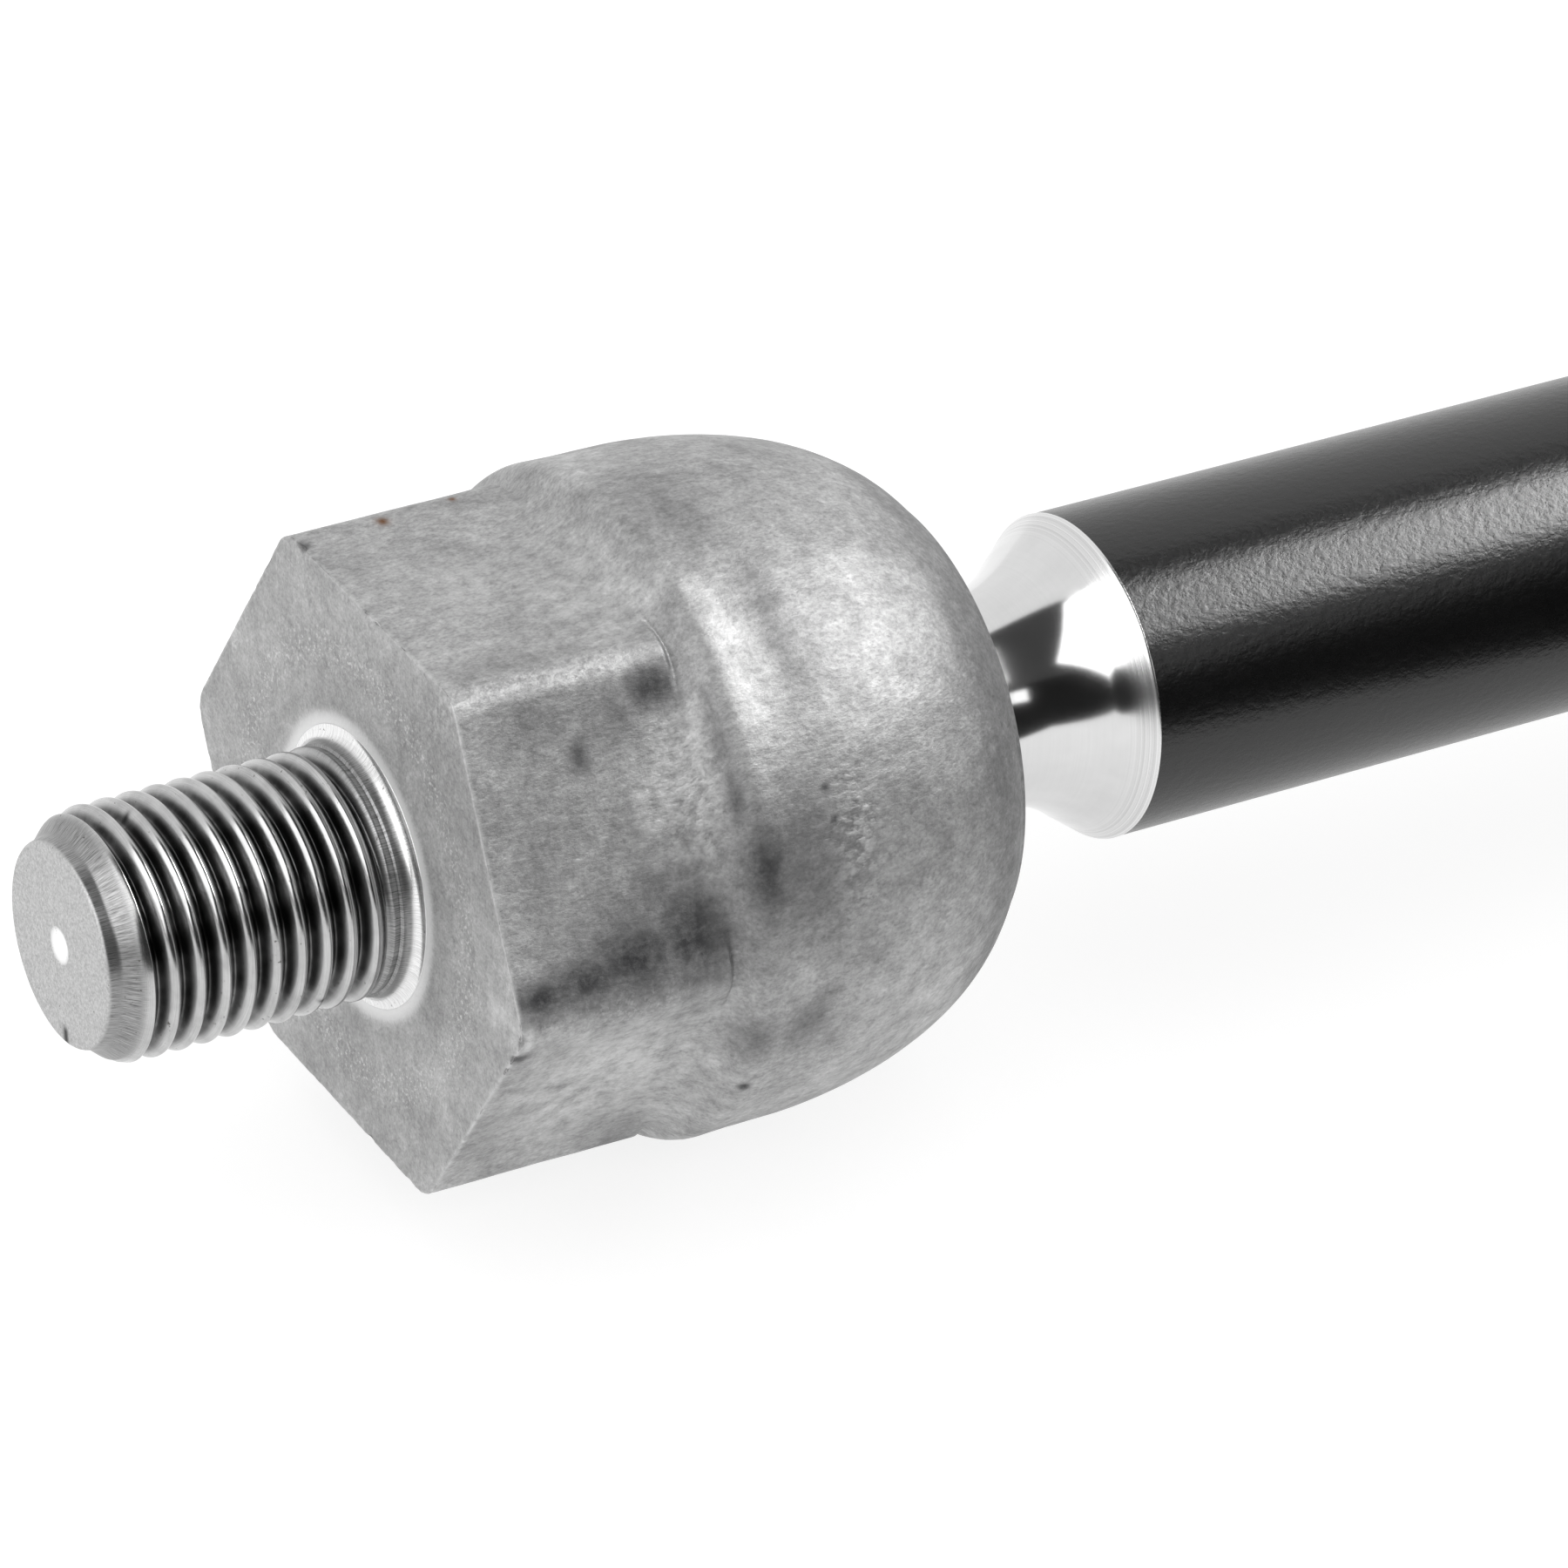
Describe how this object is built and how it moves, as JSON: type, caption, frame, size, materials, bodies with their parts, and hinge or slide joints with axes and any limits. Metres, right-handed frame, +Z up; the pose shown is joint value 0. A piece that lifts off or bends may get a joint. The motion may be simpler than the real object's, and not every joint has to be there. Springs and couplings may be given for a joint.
{
  "type": "axial ball joint tie rod",
  "caption": "Steering rack end: a threaded stud and spanner hexagon carry a ball socket, from which a tie rod swings and turns.",
  "frame": {"origin": "centre of the hexagon's shoulder face, which seats on the steering rack, on the stud's axis", "axes": "+X along the tie rod away from the rack, +Z up, normal to two of the hexagon's flats"},
  "size_m": [0.2697, 0.038, 0.038],
  "materials": {
    "forged_steel": "bare forged and shot-blasted steel, matt to satin, fine grain, with the stud turned and its thread rolled bright",
    "bright_steel": "turned, polished and bare",
    "black_coating": "steel bar with a thin satin black coating, slight orange peel",
    "plated_steel": "zinc plated and passivated, satin",
    "spring_steel": "hardened and oiled, dark",
    "bearing_plastic": "moulded acetal, waxy",
    "grease": "amber lithium grease"
  },
  "bodies": {
    "socket": {"rack_end_housing": "forged_steel", "disc_spring_front": "spring_steel", "disc_spring_rear": "spring_steel", "thrust_washer": "spring_steel", "rear_bearing_seat": "bearing_plastic", "closing_ring": "spring_steel"},
    "bearing": {"front_bearing_seat": "bearing_plastic"},
    "lubricant": {"grease_film": "grease"},
    "rod": {"ball_pin": "bright_steel", "tie_rod": "black_coating"},
    "nut": {"jam_nut": "plated_steel"}
  },
  "joints": [
    {"name": "swing_direction", "type": "hinge", "parent": "socket", "child": "bearing", "pos_m": [0.0215, 0, 0], "axis": [1, 0, 0], "continuous": true},
    {"name": "rod_swing", "type": "hinge", "parent": "bearing", "child": "lubricant", "pos_m": [0.0215, 0, 0], "axis": [0, 0, 1], "range_deg": [-21, 21]},
    {"name": "rod_spin", "type": "hinge", "parent": "lubricant", "child": "rod", "pos_m": [0.0215, 0, 0], "axis": [1, 0, 0], "continuous": true},
    {"name": "jam_nut_travel", "type": "slide", "parent": "rod", "child": "nut", "axis": [1, 0, 0], "range_m": [-0.006, 0.036]}
  ]
}
